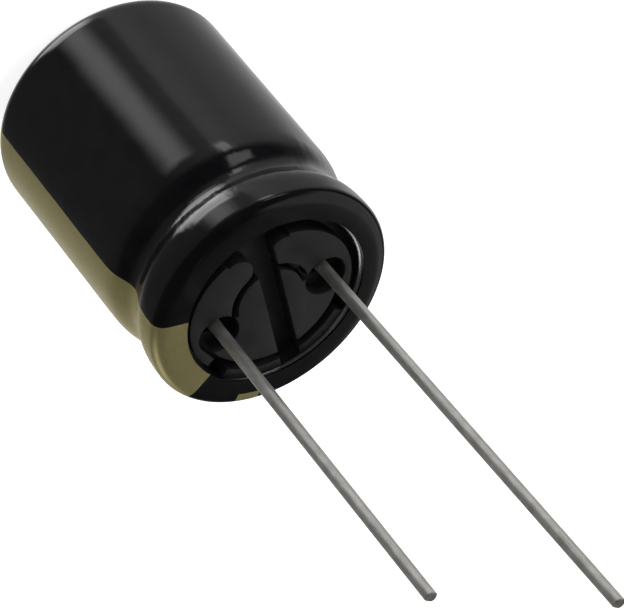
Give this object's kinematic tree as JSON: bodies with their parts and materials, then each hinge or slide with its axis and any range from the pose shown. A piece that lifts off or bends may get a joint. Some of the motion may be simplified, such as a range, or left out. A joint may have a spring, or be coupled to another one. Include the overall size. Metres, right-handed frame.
{
  "type": "radial electrolytic capacitor",
  "caption": "Sleeved aluminium can capacitor with a beaded rim, a moulded rubber end seal and round wire leads of unequal length.",
  "frame": {"origin": "centre of the can's flat end, on the surface that it stands on", "axes": "+Z along the can's axis from its flat end to the lead tips, X through both leads with the cathode at +X"},
  "size_m": [0.0162, 0.0162, 0.0528],
  "materials": {
    "sleeve": "glossy black shrunk plastic with a plain gold stripe",
    "can": "bright drawn aluminium",
    "end_seal": "moulded black rubber, satin",
    "wire": "dull tin plate over copper-clad steel",
    "terminal": "plain aluminium, pressed flat at the tab",
    "roll": "wound foil and damp separator paper",
    "tape": "amber film tape"
  },
  "bodies": {
    "root": {"sleeve": "sleeve", "can": "can", "end_seal": "end_seal", "cathode_wire": "wire", "anode_wire": "wire", "cathode_terminal": "terminal", "anode_terminal": "terminal", "wound_element": "roll", "winding_tape": "tape"}
  },
  "joints": []
}
